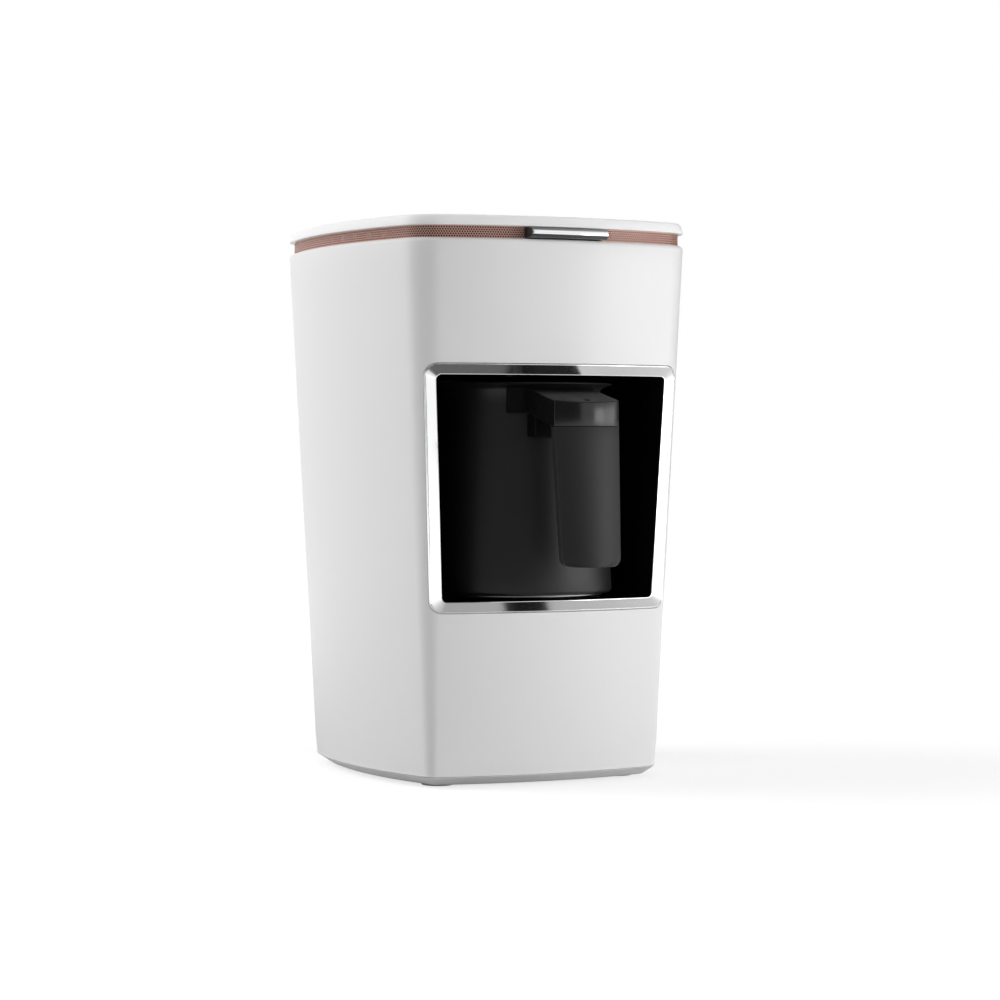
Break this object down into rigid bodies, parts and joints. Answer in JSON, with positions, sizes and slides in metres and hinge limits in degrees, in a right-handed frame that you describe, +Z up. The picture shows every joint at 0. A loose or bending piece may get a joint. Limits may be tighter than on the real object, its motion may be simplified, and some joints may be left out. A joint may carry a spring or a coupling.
{
  "type": "electric turkish coffee maker",
  "caption": "Tapered countertop coffee maker with a bow-fronted shell, an open bay with a hot plate, a lift-out pot with a drop handle, a grille band and a front push bar.",
  "frame": {"origin": "on the table, under the middle of the whole object's bounding box, handle included", "axes": "+X to the object's right as seen from the front, +Y to its back, +Z up"},
  "size_m": [0.1598, 0.205, 0.2512],
  "materials": {
    "white_shell": "satin moulded plastic",
    "base_grey": "moulded plastic",
    "rose_gold": "rose-gold perforated sheet",
    "chrome": "bright plated",
    "frame_black": "moulded plastic",
    "bay_black": "satin black",
    "pot_black": "non-stick coating",
    "handle_gloss": "smooth moulded plastic",
    "handle_soft": "soft-touch",
    "steel": "bright",
    "plate_alloy": "turned",
    "rubber_dark": "moulded",
    "board_green": "circuit board",
    "component_dark": "moulded",
    "ceramic": "ceramic",
    "lens_red": "clear dark",
    "relay_blue": "moulded"
  },
  "bodies": {
    "root": {"housing": "white_shell", "base_plate": "base_grey", "feet": "rubber_dark", "base_screws": "steel", "lid": "white_shell", "vent_band": "rose_gold", "top_frame": "frame_black", "frame_screws": "steel", "lid_screws": "steel", "button_springs": "steel", "push_switch": "component_dark", "control_board": "board_green", "buzzer": "component_dark", "window_bezel": "chrome", "bay_liner": "bay_black", "liner_screws": "steel", "sensor_lens": "lens_red", "sensor_board": "board_green", "hot_plate": "plate_alloy", "plate_seal": "rubber_dark", "heating_element": "steel", "plate_bracket": "steel", "thermostat": "ceramic", "thermal_fuse": "ceramic", "power_board": "board_green", "relay": "relay_blue", "transformer": "component_dark", "terminal_block": "board_green", "cord_gland": "rubber_dark"},
    "pot": {"pot_body": "pot_black", "pot_base": "steel", "handle_collar": "frame_black", "handle_anchor": "handle_gloss", "handle_arm": "handle_gloss", "handle_grip": "handle_soft", "handle_screw": "chrome"},
    "button": {"button_bar": "chrome", "button_carrier": "frame_black", "switch_plunger": "component_dark"}
  },
  "joints": [
    {"name": "pot_slide", "type": "slide", "parent": "root", "child": "pot", "axis": [0, -1, 0], "range_m": [0, 0.2]},
    {"name": "button_press", "type": "slide", "parent": "root", "child": "button", "axis": [0, 1, 0], "range_m": [0, 0.0012], "stiffness_N_per_m": 1200, "springref_m": -0.0008, "deforming": ["button_springs"]}
  ]
}
